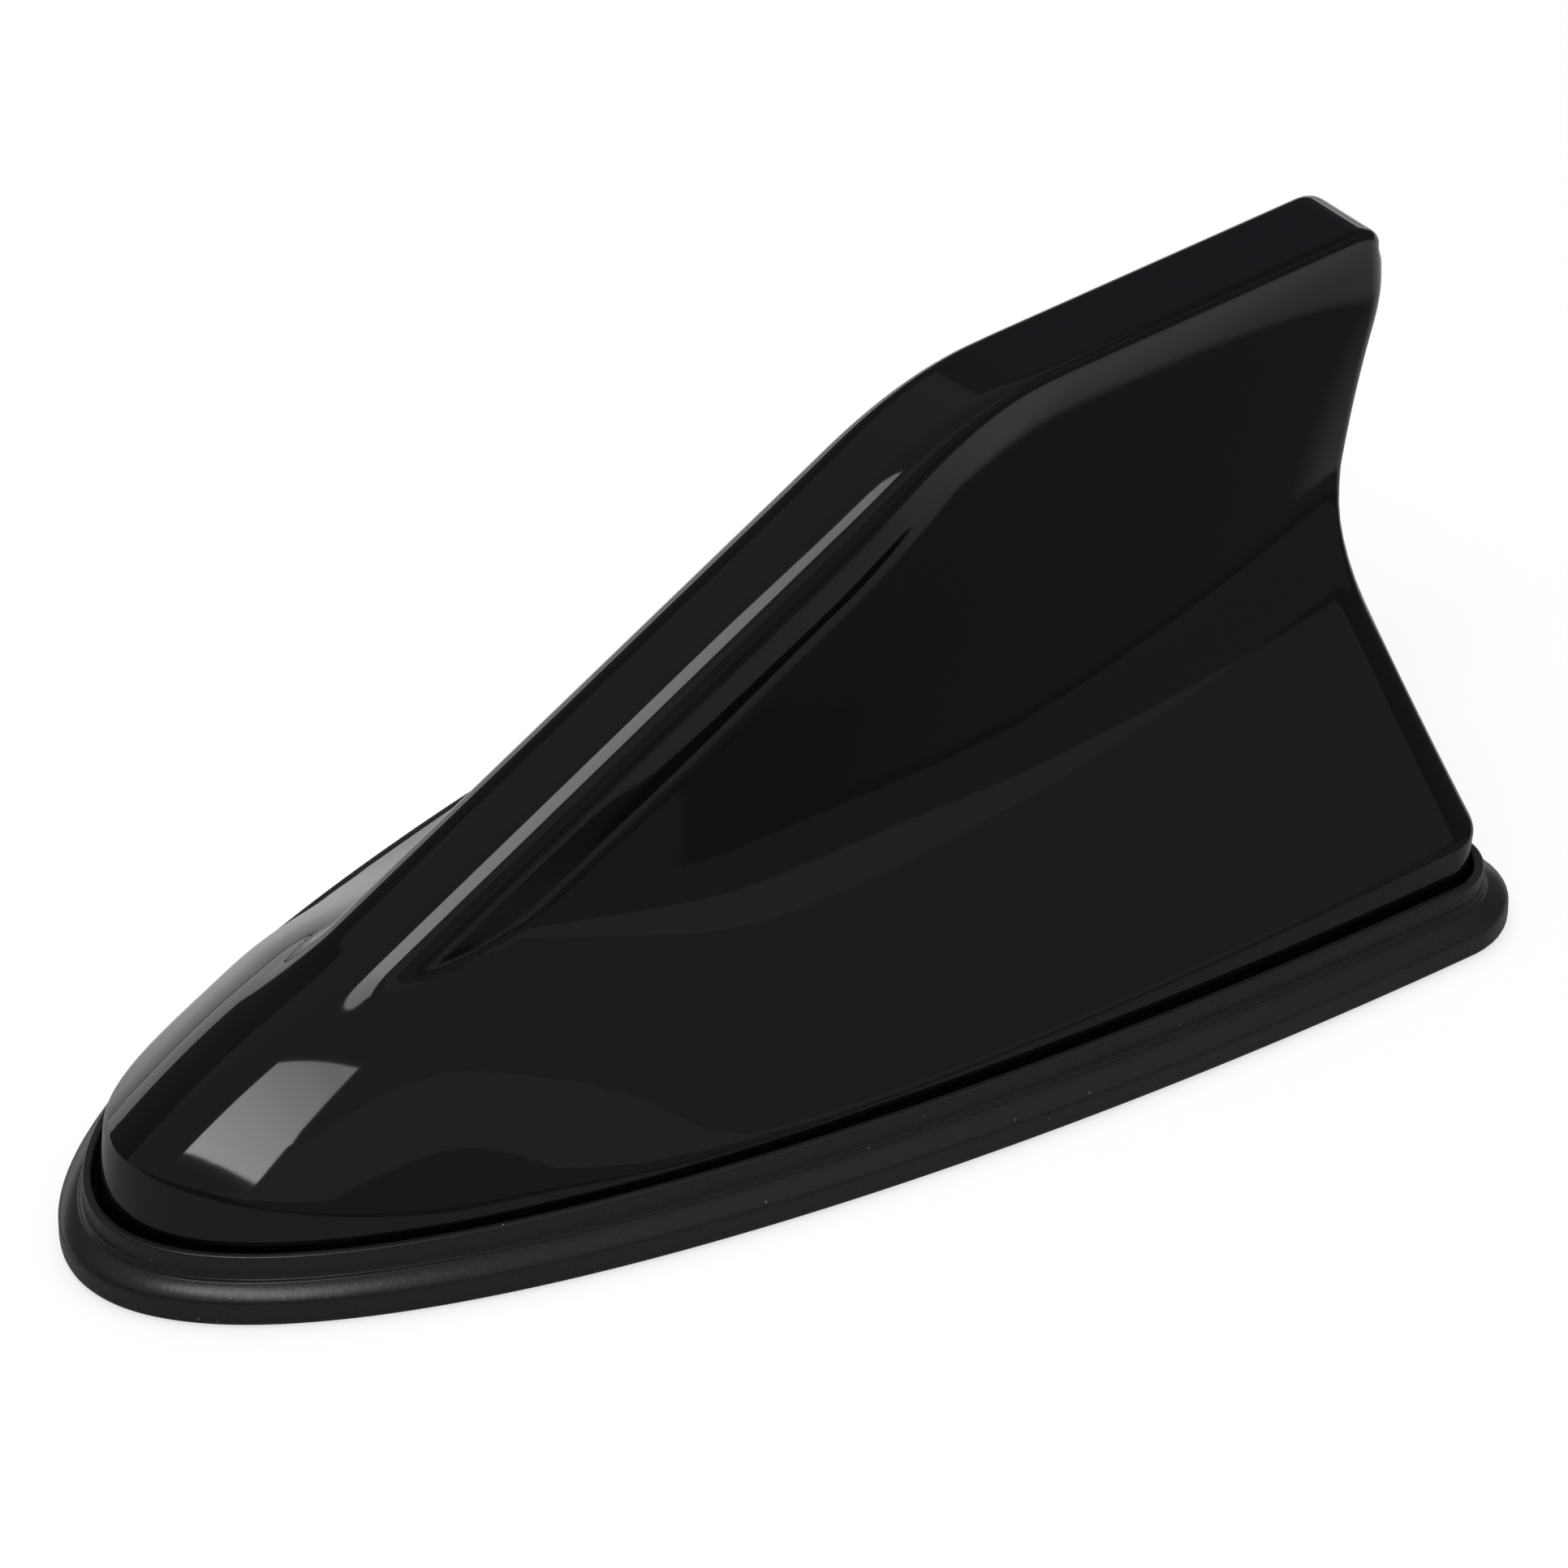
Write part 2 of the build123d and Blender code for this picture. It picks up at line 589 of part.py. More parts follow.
if __name__ == "__main__":
    os.makedirs("parts", exist_ok=True)
    for build in (fin_cover, sealing_gasket, base_plate, adhesive_pad, cable_grommet, cover_screws,
                  amplifier_board, board_screws, plate_holder, holder_screws, capacity_plate, foam_strip,
                  coil_former, helical_coil, contact_strip, shield_can, amplifier_chip, cable_clamp):
        export_step(build(), f"parts/{build.__name__}.step")
    export_step(blocks(capacitor_size, capacitor_places), "parts/chip_capacitors.step")
    export_step(blocks(resistor_size, resistor_places), "parts/chip_resistors.step")
    export_step(blocks(inductor_size, inductor_places), "parts/chip_inductors.step")
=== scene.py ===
# %% [markdown]
# # Shark fin aerial
# A car roof aerial is a glossy moulded cover standing in a matt rubber gasket. The frame gives every
# piece at its real size, so the first step only loads it.

# %% Load the frame
import math
import bmesh
import bpy
import numpy as np
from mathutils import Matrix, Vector


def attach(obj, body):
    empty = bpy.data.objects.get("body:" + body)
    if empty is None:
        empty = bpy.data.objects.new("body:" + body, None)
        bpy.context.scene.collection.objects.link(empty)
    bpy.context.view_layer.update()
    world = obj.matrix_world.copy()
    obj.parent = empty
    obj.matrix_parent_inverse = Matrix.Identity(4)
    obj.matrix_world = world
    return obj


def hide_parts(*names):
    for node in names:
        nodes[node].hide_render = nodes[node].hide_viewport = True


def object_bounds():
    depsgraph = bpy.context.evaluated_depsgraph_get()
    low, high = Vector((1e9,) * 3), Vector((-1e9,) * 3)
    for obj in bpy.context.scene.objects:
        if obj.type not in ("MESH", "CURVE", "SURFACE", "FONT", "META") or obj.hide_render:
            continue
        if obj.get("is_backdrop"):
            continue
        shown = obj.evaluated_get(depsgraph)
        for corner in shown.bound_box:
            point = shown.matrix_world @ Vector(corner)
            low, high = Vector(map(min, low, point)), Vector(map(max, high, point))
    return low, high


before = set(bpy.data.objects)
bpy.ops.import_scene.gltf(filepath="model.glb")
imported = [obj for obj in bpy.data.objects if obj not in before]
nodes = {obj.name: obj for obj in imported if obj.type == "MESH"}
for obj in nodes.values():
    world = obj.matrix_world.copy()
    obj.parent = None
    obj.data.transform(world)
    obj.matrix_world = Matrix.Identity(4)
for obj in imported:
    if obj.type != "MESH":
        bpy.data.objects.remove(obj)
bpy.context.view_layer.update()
MM = 0.001
print("nodes", len(nodes))

# %% [markdown]
# ## Camera
# The photograph looks down on the nose from the left. A long lens from about a metre away keeps the
# sides nearly parallel, as they are there, and a small shift puts the fin at its place in the frame.

# %% Camera
AZIMUTH, ELEVATION = math.radians(-38.66), math.radians(35.945)
DISTANCE, LENS, SENSOR = 970 * MM, 213.5, 36
SHIFT_RIGHT, SHIFT_UP = 0.0406, 0.0099
FAR_CLIP = 20
TARGET = Vector((-2.425, 0, 24.25)) * MM
level = math.cos(ELEVATION)
back = Vector((math.sin(AZIMUTH) * level, -math.cos(AZIMUTH) * level, math.sin(ELEVATION)))
camera = bpy.data.objects.new("camera", bpy.data.cameras.new("camera"))
bpy.context.collection.objects.link(camera)
camera.location = TARGET + back * DISTANCE
camera.rotation_euler = (-back).to_track_quat("-Z", "Y").to_euler()
camera.data.lens = LENS
camera.data.sensor_width = SENSOR
camera.data.shift_x = SHIFT_RIGHT
camera.data.shift_y = SHIFT_UP
camera.data.clip_end = FAR_CLIP
bpy.context.scene.camera = camera
print("camera", [round(c, 3) for c in camera.location])

# %% [markdown]
# ## Colours and nodes
# Colours are written as the eye reads them, in sRGB hex, and turned to the linear values that shaders
# work in. One function adds a shader node, sets it and links it, so each material reads as a short list.


# %% Colour and node helpers
def linear(hex_code):
    """sRGB hex to linear RGBA."""
    parts = [int(hex_code[i:i + 2], 16) / 255 for i in (1, 3, 5)]
    flat = [p / 12.92 if p <= 0.04045 else ((p + 0.055) / 1.055) ** 2.4 for p in parts]
    return (*flat, 1.0)


def add(tree, kind, links=None, **settings):
    """Add a node; settings are its own properties or, failing that, its inputs; links feed inputs."""
    node = tree.nodes.new(kind)
    for name, value in settings.items():
        if hasattr(node, name):
            setattr(node, name, value)
        else:
            node.inputs[name.replace("_", " ")].default_value = value
    for name, socket in (links or {}).items():
        tree.links.new(socket, node.inputs[name])
    return node


def material(name):
    """A new material with its shader and the object's own coordinates, in metres."""
    mat = bpy.data.materials.new(name)
    mat.use_nodes = True
    tree = mat.node_tree
    return mat, tree, tree.nodes["Principled BSDF"], add(tree, "ShaderNodeTexCoord").outputs["Object"]


def dress(piece, mat):
    """Give a piece one material."""
    piece.data.materials.clear()
    piece.data.materials.append(mat)


print("white", linear("#ffffff"))

# %% [markdown]
# ## Gloss black ABS
# The cover is moulded in black ABS from a polished tool. It is almost a mirror: the eye sees what it
# reflects, softened a little. The plastic shrinks a little unevenly as it cools, so a very shallow wave
# of noise in the bump bends long highlights as the real surface does.

# %% Cover finish
SHRINK_WAVE, SHRINK_DEPTH = 14 * MM, 0.4 * MM
POLISHED, PLASTIC_IOR = 0.045, 1.5
abs_gloss, tree, shader, coords = material("abs_black_polished")
shader.inputs["Base Color"].default_value = linear("#08080b")
shader.inputs["Roughness"].default_value = POLISHED
shader.inputs["IOR"].default_value = PLASTIC_IOR
wave = add(tree, "ShaderNodeTexNoise", {"Vector": coords}, Scale=1 / SHRINK_WAVE, Detail=1.0)
bump = add(tree, "ShaderNodeBump", {"Height": wave.outputs["Fac"]}, Strength=0.02, Distance=SHRINK_DEPTH)
tree.links.new(bump.outputs["Normal"], shader.inputs["Normal"])
print("finish", abs_gloss.name)

# %% [markdown]
# ## Rubber
# The gasket is moulded rubber: dull, a little lighter than the cover, with a fine grain and a few pale
# specks of dust that always cling to it. Noise gives the grain. The specks are the middles of a few
# Voronoi cells. Real grain is about 0.2 mm; it is drawn at 0.5 mm to show.

# %% Gasket grain
GRAIN, GRAIN_DEPTH = 0.5 * MM, 0.06 * MM
RUBBER_IOR = 1.5
rubber, tree, shader, coords = material("rubber_moulded_matt")
shader.inputs["IOR"].default_value = RUBBER_IOR
grain = add(tree, "ShaderNodeTexNoise", {"Vector": coords}, Scale=1 / GRAIN, Detail=3.0)
rough = add(tree, "ShaderNodeMapRange", {"Value": grain.outputs["Fac"]}, To_Min=0.22, To_Max=0.34)
tree.links.new(rough.outputs["Result"], shader.inputs["Roughness"])
bump = add(tree, "ShaderNodeBump", {"Height": grain.outputs["Fac"]}, Strength=0.25, Distance=GRAIN_DEPTH)
tree.links.new(bump.outputs["Normal"], shader.inputs["Normal"])
print("finish", rubber.name)

# %% [markdown]
# ### Dust on the rubber
# A speck shows where a point is close to the middle of its cell and the cell is one of the few picked by
# its random colour. Two comparisons, multiplied, choose between the rubber's colour and the dust's.

# %% Gasket dust
SPECK, SPECK_PART, DUSTY_CELLS = 1.3 * MM, 0.09, 0.10
speck = add(tree, "ShaderNodeTexVoronoi", {"Vector": coords}, Scale=1 / SPECK)
pick = add(tree, "ShaderNodeSeparateColor", {"Color": speck.outputs["Color"]})
few = add(tree, "ShaderNodeMath", {0: speck.outputs["Distance"]}, operation="LESS_THAN")
few.inputs[1].default_value = SPECK_PART
rare = add(tree, "ShaderNodeMath", {0: pick.outputs["Red"]}, operation="LESS_THAN")
rare.inputs[1].default_value = DUSTY_CELLS
both = add(tree, "ShaderNodeMath", {0: few.outputs[0], 1: rare.outputs[0]}, operation="MULTIPLY")
tint = add(tree, "ShaderNodeMix", {"Factor": both.outputs[0]}, data_type="RGBA")
tint.inputs["A"].default_value = linear("#1e1e1f")
tint.inputs["B"].default_value = linear("#77756f")
tree.links.new(tint.outputs["Result"], shader.inputs["Base Color"])
print("specks every", round(SPECK / MM, 2), "mm,", DUSTY_CELLS, "of them dusty")

# %% [markdown]
# ## The cover's lines
# The cover is drawn as a designer would, by a few lines: the skirt's outline from above, the ridge of
# the nose dome, the flanks of the hull, the blade's side panels, and the spine with its raised band.
# Each is a short formula in millimetres, so the surface is smooth enough for mirror-like gloss. Where
# two forms meet, the larger of the two is taken, with a soft change-over that acts as the fillet.


# %% Soft joins and curves
def smooth_max(a, b, soft):
    """The larger of two, with a soft change-over."""
    near = np.maximum(soft - np.abs(a - b), 0) / soft
    return np.maximum(a, b) + near * near * soft / 4


def smooth_min(a, b, soft):
    """The smaller of two, with a soft change-over."""
    return -smooth_max(-a, -b, soft)


def through(places, x):
    """Smooth curve through three places."""
    (x0, y0), (x1, y1), (x2, y2) = places
    first = y0 * (x - x1) * (x - x2) / ((x0 - x1) * (x0 - x2))
    second = y1 * (x - x0) * (x - x2) / ((x1 - x0) * (x1 - x2))
    third = y2 * (x - x0) * (x - x1) / ((x2 - x0) * (x2 - x1))
    return first + second + third


def ease(x, start, end):
    """From 0 at start to 1 at end, slow at both."""
    share = np.clip((x - start) / (end - start), 0, 1)
    return share * share * (3 - 2 * share)


print("fillet of two equal forms, soft 2 mm:", smooth_max(1.0, 1.0, 2.0) - 1.0, "mm")

# %% [markdown]
# ### Skirt and trailing edge
# From above, the skirt is the front part of a long oval. It leans in by 8 degrees, so that the moulding
# leaves its tool, up to where the hull begins. Behind, the cover ends at a line that sweeps back and up.

# %% Skirt and trailing edge
TIP, SKIRT_LOW, SKIRT_HIGH = 85.0, 5.4, 14.0
OVAL_X, OVAL_LONG, OVAL_HALF = 90.1, 170.6, 42.7
SKIRT_DRAFT = math.tan(math.radians(8))


def trail(z):
    """Trailing edge."""
    return smooth_min(through([(7.0, 68.3), (30.0, 75.3), (54.0, 85.0)], z), TIP, 1.2)


def draft(z):
    """How far the skirt has leaned in at a height."""
    return SKIRT_DRAFT * (np.clip(z, SKIRT_LOW, SKIRT_HIGH) - SKIRT_LOW)


def skirt_half(x, z):
    """Half width of the skirt."""
    along = (x - OVAL_X) / (OVAL_LONG - draft(z))
    return (OVAL_HALF - draft(z)) * np.sqrt(np.clip(1 - along ** 2, 0, None))


print("skirt half width at the middle", round(float(skirt_half(0.0, SKIRT_LOW)), 2), "mm")

# %% [markdown]
# ### Spine
# A flat-topped spine rises from the dome at the toe, bends and runs nearly level to the rounded tip. Its
# band stands proud of the blade. On the front slope it is broad with softly rounded edges, which carry
# the long bright line; behind the bend it is narrower and its edges are crisper.

# %% Spine
TOP, TOE, TOE_HEIGHT = 63.7, -52.0, 26.3
SLOPE = math.tan(math.radians(25.8))
SLOPE_FRONT, FADE = -59.0, 0.06
BEND_SOFT, TIP_ROUND = 4.6, 5.2
BEND_START, BEND_END = 8.0, 40.0


def slope_line(x):
    """The front slope; it dips under the dome in front of the toe."""
    return TOE_HEIGHT + (x - TOE) * SLOPE - FADE * np.clip(SLOPE_FRONT - x, 0, None) ** 2


def spine_top(x):
    """Top of the spine: front slope, bend, nearly level top and rounded tip."""
    past = np.clip(x - (TIP - TIP_ROUND), 0, TIP_ROUND)
    return smooth_min(slope_line(x), TOP, BEND_SOFT) - (TIP_ROUND - np.sqrt(TIP_ROUND ** 2 - past ** 2))


def band_low(x):
    """Underside of the spine's band."""
    level_part = through([(26.0, 54.6), (52.0, 55.6), (82.7, 52.8)], x)
    return smooth_min(53.6 + (x - 25.8) * 0.5153, level_part, 4.0)


def band_half(x):
    """Half width of the spine: broader on the front slope."""
    return 6.35 - 1.3 * ease(x, BEND_START, BEND_END)


def edge_round(x):
    """Rounding of the spine's long edges: broad on the front slope, closer on the level top."""
    return 3.9 - 2.9 * ease(x, BEND_START, BEND_END)


def toe_soft(x):
    """Softness of the join between spine and hull: a wider hollow round the toe."""
    return 0.6 + 0.6 * ease(x, -36, -54)


print("spine", TOP, "mm high")

# %% [markdown]
# ### Dome and hull
# Across, the nose is a dome, a parabola on its ridge. Behind it the sides straighten slowly into the
# flanks of the hull. The change is long, because a short one leaves a hollow that shows in the gloss.

# %% Dome and hull
NOSE, DOME_END, FLANK, STRAIGHT = -79.95, -56.0, -41.0, -5.0


def dome(x):
    """Ridge and curve of the nose dome."""
    ridge = through([(NOSE, 13.8), (-65.5, 21.4), (TOE, 25.7)], x)
    return ridge, 0.044 - 0.013 * (x - NOSE) / (TOE - NOSE)


def flank(x):
    """Ridge and slope of the hull's flanks."""
    return (through([(-43.6, 26.6), (0.0, 28.8), (70.0, 36.4)], x),
            through([(-43.6, 0.66), (0.0, 0.555), (70.0, 0.604)], x))


def section(x):
    """The hull across: height on the middle line, fall and bend; domed at the nose, straight behind."""
    (ridge, curve), (apex, slope) = dome(x), flank(x)
    wide = np.maximum(skirt_half(x, 10.0), 0.05)
    share, domed = ease(x, DOME_END, FLANK), 1 - ease(x, DOME_END, STRAIGHT)
    top = (1 - share) * ridge + share * apex
    drop = (1 - share) * curve * wide * wide + share * slope * wide
    return top, (1 - domed) * drop / wide, domed * drop / (wide * wide) + 1e-5


def hull_reach(x, z, y0=0.0, cos_f=1.0, sin_f=0.0):
    """Distance from (y0, z) in direction (cos, sin) to the dome or hull."""
    top, fall, bend = section(x)
    a = bend * cos_f ** 2
    b = sin_f + fall * cos_f + 2 * bend * y0 * cos_f
    c = z + fall * y0 + bend * y0 ** 2 - top
    root = np.sqrt(np.clip(b * b - 4 * a * c, 0, None))
    reach = np.where(a > 1e-6, (root - b) / np.maximum(2 * a, 1e-9), -c / np.maximum(b, 1e-9))
    return np.where(c < 0, reach, 0)


print("hull on the middle line at x 0:", round(float(section(0.0)[0]), 2), "mm high")

# %% [markdown]
# ### Side panels and the whole width
# The blade's sides are shallow panels that lean out to a knee and flow into the hull. Hull, panel and
# band each give a half width at a place, and the soft maximum joins them. A form that is not there gives
# a width far below zero, because two equal widths would already swell into each other.

# %% Whole width
PANEL_HALF, PANEL_FRONT, PANEL_DROP, TAIL = 4.2, -36.0, 4.65, 80.0
UNDER_ROUND, UNDER_DEPTH, SPINE_FRONT = 5.0, 0.9, -70.0
HULL_END, BLADE_END, BAND_END, END_HALF = 4.8, 2.4, 2.8, 1.5
ABSENT = -9.0


def knee(x):
    """Where a side panel turns out onto the hull: half width and height."""
    return (through([(-43.0, 6.0), (15.0, 14.0), (TAIL, 8.7)], x),
            through([(-43.0, 22.8), (15.0, 23.2), (TAIL, 32.6)], x))


def rounded_end(y, gap, reach, end):
    """Half width rounded off behind: over the last `reach` before the trailing edge it falls to `end`."""
    near = np.clip(1 - gap / reach, 0, 1)
    return y - np.maximum(y - end, 0) * (1 - np.sqrt(1 - near * near))


def hull_side(x, z, gap):
    """Half width of dome and hull inside the skirt."""
    skirt = skirt_half(x, z)
    hull = smooth_min(hull_reach(x, z), skirt, np.minimum(0.7, 0.3 * skirt) + 0.01)
    return rounded_end(hull, gap, HULL_END, np.maximum(hull - HULL_END, END_HALF))


def panel_side(x, z, gap):
    """Half width of the blade between its side panels; it fades out in front."""
    knee_y, knee_z = knee(x)
    high = np.minimum(slope_line(x), TOP) - PANEL_DROP
    panel = PANEL_HALF + (high - z) * (knee_y - PANEL_HALF) / np.maximum(high - knee_z, 1.0)
    panel = np.where(z < high + 3, np.maximum(panel, PANEL_HALF - 1), ABSENT)
    panel = panel - FADE * np.clip(PANEL_FRONT - x, 0, None) ** 2
    return rounded_end(panel, gap, BLADE_END, END_HALF)


def band_side(x, z, gap):
    """Half width of the spine's band, rounded below."""
    under = 1 - np.clip((z - band_low(x)) / UNDER_ROUND, 0, 1)
    band = band_half(x) - UNDER_DEPTH * (1 - np.sqrt(1 - under ** 2))
    there = (z > band_low(x)) & (x > SPINE_FRONT)
    return np.where(there, rounded_end(band, gap, BAND_END, END_HALF), ABSENT)


def half_width(x, z):
    """Half width of the whole cover at x, z."""
    gap = np.clip(trail(z) - x, 0, None)
    sides = smooth_max(hull_side(x, z, gap), panel_side(x, z, gap), 3.2 + 6.0 * ease(x, -44, 10))
    with_band = smooth_max(sides, band_side(x, z, gap), toe_soft(x))
    return np.where(z < spine_top(x) - edge_round(x), with_band, sides)


print("half width at x 0, z 40:", round(float(half_width(np.array(0.0), np.array(40.0))), 2), "mm")

# %% [markdown]
# ## The cover
# One way to make it would be to loft sections and join three solids, but every join then shows in the
# gloss. Here a flat grid is laid over the form instead: its columns are stations from nose to tail and
# its rows run from the skirt up over the spine, each put where the lines above say. The stations crowd
# at both ends and round the toe, where the form turns most.

# %% Stations
STATIONS = 210
TOE_PLACE, TOE_SPREAD, TOE_DENSE = 0.17, 0.075, 2.2
fine = np.linspace(0, 1, 4001)
ends = 0.5 / np.sqrt(np.clip(fine * (1 - fine), 2e-4, None))
dense = np.cumsum(ends + TOE_DENSE * np.exp(-((fine - TOE_PLACE) / TOE_SPREAD) ** 2))
along = np.interp(np.linspace(0, 1, STATIONS + 1), (dense - dense[0]) / (dense[-1] - dense[0]), fine)


def station_x(z):
    """Where the stations lie at a height: from the skirt's front to the trailing edge."""
    front = OVAL_X - OVAL_LONG + draft(z)
    return front + along * (trail(z) - front)


print("stations", len(along), "from", round(float(station_x(SKIRT_LOW)[0]), 2), "mm")

# %% [markdown]
# ### Rows
# The rows come in bands: skirt, the edge above it, hull, panel, the spine's band. Their borders follow the
# form's own edges, so that no edge runs slantwise through the faces. The edge and the start of the
# spine's rounding depend on x, which depends on them, so a few rounds settle both.


# %% Row borders
def row_borders():
    """Heights where the bands of rows begin at each station; the last is the start of the spine's edge."""
    edge, fan_z = np.full_like(along, 12.0), np.full_like(along, 20.0)
    for _ in range(12):
        x = station_x(edge)
        (ridge, fall, bend), wide = section(x), skirt_half(x, edge)
        edge = ridge - fall * wide - bend * wide * wide
        x = station_x(fan_z)
        share = ease(x, DOME_END, FLANK)
        crown = dome(x)[0] * (1 - share) + 20 * share
        top = smooth_max(spine_top(x), crown, toe_soft(x))
        deep = edge_round(x) + 0.6 + 2.2 * ease(x, -10, -34)
        fan_z = top - np.minimum(deep, 0.45 * (top - edge))
    x, rise = station_x(fan_z), fan_z - edge
    knee_z = np.minimum(knee(x)[1] + 4 * ease(x, 0, 60), edge + 0.55 * rise)
    low = np.maximum(band_low(x), knee_z + 0.4 * (fan_z - knee_z))
    low = np.minimum(low, edge + 0.9 * rise)
    below_edge = edge - np.minimum(0.6, 0.2 * (edge - SKIRT_LOW))
    above_edge = edge + np.minimum(0.5, 0.2 * rise)
    return [np.full_like(along, SKIRT_LOW), below_edge, above_edge, knee_z,
            low - 0.1 * (low - knee_z), low + 0.55 * (fan_z - low), fan_z]


borders = row_borders()
print("row borders at the middle", [round(float(z[STATIONS // 2]), 1) for z in borders])

# %% [markdown]
# ### Over the spine
# Level rows would run out along the flat top. Over the spine's edge the rows therefore turn like a fan:
# rays from a line inside the spine swing from level to upright, and each stops at the rounded edge or at
# the dome, whichever is farther out.


# %% Fan of rows
def fan_point(x, y0, z0, turn):
    """Point where a ray turned up from level meets the spine's rounded edge or the dome."""
    c, s = math.cos(turn), math.sin(turn)
    skirt = (skirt_half(x, z0) - y0) / max(c, 1e-6)
    hull = smooth_min(hull_reach(x, z0, y0, c, s), skirt, np.minimum(0.5, 0.3 * skirt) + 0.01)
    gap = np.clip(trail(z0) - x, 0, None)
    half = np.maximum(rounded_end(band_half(x), gap, BAND_END, END_HALF) - y0, 0.05)
    high = np.maximum(spine_top(x) - z0, 0)
    r = np.minimum(edge_round(x), np.minimum(half, high) * 0.95)
    cy, cz = half - r, high - r
    side, over = half / max(c, 1e-6), high / max(s, 1e-6)
    middle = cy * c + cz * s
    corner = middle + np.sqrt(np.clip(r * r - (cy * cy + cz * cz - middle * middle), 0, None))
    band = np.where(side * s <= cz, side, np.where(over * c <= cy, over, corner))
    band = np.where((spine_top(x) > z0 + 0.05) & (x > SPINE_FRONT), band, ABSENT)
    reach = smooth_max(hull, band, toe_soft(x))
    return x, y0 + reach * c, z0 + reach * s


tip_edge = fan_point(np.array(60.0), np.array(1.0), np.array(62.0), math.pi / 4)
print("spine's edge at x 60:", [round(float(c), 2) for c in tip_edge])

# %% [markdown]
# ### All places of the half cover
# Now the table is filled: level rows between the borders, the fan, and a few rows across the flat top to
# the middle line. Behind, a cap closes the end. The rows of the top close up on the cap's upper edge, so
# that the mesh has no folded faces there.

# %% Places of the cover
CAP = 4
LEVEL_ROWS, FAN_ROWS, TOP_ROWS = [3, 8, 15, 18, 12, 4], 24, CAP
FAN_HALF = 1.4
places = []
for low, high, count in zip(borders, borders[1:], LEVEL_ROWS):
    for i in range(count):
        z = low + (high - low) * i / count
        x = station_x(z)
        places.append((x, half_width(x, z), z))
fan_z = borders[-1]
x = station_x(fan_z)
fan_y = np.minimum(FAN_HALF, 0.45 * half_width(x, fan_z))
for i in range(FAN_ROWS + 1):
    places.append(fan_point(x, fan_y, fan_z, math.pi / 2 * i / FAN_ROWS))
for i in range(1, TOP_ROWS + 1):
    y = fan_y * (1 - i / TOP_ROWS)
    dome_up = np.maximum(hull_reach(x, fan_z, y, 0.0, 1.0), 0)
    places.append((x, y, fan_z + smooth_max(dome_up, spine_top(x) - fan_z, toe_soft(x))))
half = np.array(places).transpose(2, 0, 1)
rear = [half[-1] * (1, 1 - k / CAP, 1) for k in range(1, CAP + 1)]
for column in rear:
    column[-CAP:, 1] = np.minimum(column[-CAP - 1, 1], half[-1][-CAP:, 1])
half = np.concatenate([half, rear]) * (1, -1, 1)
print("half cover", half.shape[0], "stations by", half.shape[1], "rows")

# %% [markdown]
# ### Cover mesh
# A grid of the same count is created and each of its vertices is put at its place in the table; vertices
# that fall together are welded. A mirror makes the other half and a solidify gives the moulded wall.


# %% Cover mesh
def as_object(name, bm):
    """An object at the origin from a bmesh."""
    mesh = bpy.data.meshes.new(name)
    bm.to_mesh(mesh)
    bm.free()
    piece = bpy.data.objects.new(name, mesh)
    bpy.context.collection.objects.link(piece)
    return piece


def draped(name, points, mat, node):
    """A grid laid over a table of places, columns by rows, welded where its edges meet."""
    columns, rows = points.shape[0] - 1, points.shape[1] - 1
    bm = bmesh.new()
    made = bmesh.ops.create_grid(bm, x_segments=columns, y_segments=rows, size=1)
    for vert in made["verts"]:
        i = round((vert.co.x + 1) / 2 * columns)
        j = round((vert.co.y + 1) / 2 * rows)
        vert.co = Vector(points[i, j]) * MM
    bmesh.ops.remove_doubles(bm, verts=bm.verts, dist=0.004 * MM)
    bmesh.ops.recalc_face_normals(bm, faces=bm.faces)
    piece = as_object(name, bm)
    piece.data.shade_smooth()
    dress(piece, mat)
    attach(piece, "root")
    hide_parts(node)
    print(name, len(piece.data.polygons), "faces")
    return piece


WALL = 1.8 * MM
cover = draped("cover_shell", half, abs_gloss, "fin_cover")
twin = cover.modifiers.new("other half", "MIRROR")
twin.use_axis = (False, True, False)
twin.merge_threshold = 0.01 * MM
wall = cover.modifiers.new("moulded wall", "SOLIDIFY")
wall.thickness = WALL
wall.offset = -1

# %% [markdown]
# ## Gasket outline
# The gasket follows the base: half an oval with a straight end behind and two rounded corners. An inset
# draws the same outline smaller or larger, as the gasket's profile steps in and out.

# %% Gasket outline
LIP_LONG, LIP_HALF, LIP_REAR, LIP_CORNER = 172.2, 44.3, 70.1, 6.6
SIDE_STEPS, CORNER_STEPS, BACK_STEPS = 110, 13, 5


def base_outline(inset):
    """Closed outline of the base, `inset` inside the outer face of the lip: half an oval, cut behind."""
    long, half, rear = LIP_LONG - inset, LIP_HALF - inset, LIP_REAR - inset
    r = max(LIP_CORNER - inset, 1.0)
    t = np.linspace(0, math.acos((OVAL_X - rear + r) / long), SIDE_STEPS)
    side = [(OVAL_X - long * math.cos(a), half * math.sin(a)) for a in t]
    middle = side[-1][1] - r
    turn = np.linspace(0, math.pi / 2, CORNER_STEPS)[1:]
    corner = [(rear - r + r * math.sin(a), middle + r * math.cos(a)) for a in turn]
    back_edge = [(rear, middle * (1 - k / BACK_STEPS)) for k in range(1, BACK_STEPS + 1)]
    one = side + corner + back_edge
    return one + [(x, -y) for x, y in reversed(one[1:-1])]


print("gasket outline", len(base_outline(0.0)), "places")

# %% [markdown]
# ## Gasket
# It is one moulding of constant profile: a soft foot that spreads on the roof, a step, a thin upright lip
# round the skirt and a flange under the cover. Extruding a ring again and again would do it too, but the
# grid of the cover serves as well: its columns are places on the outline and its rows go once round the
# profile, back to where they began.


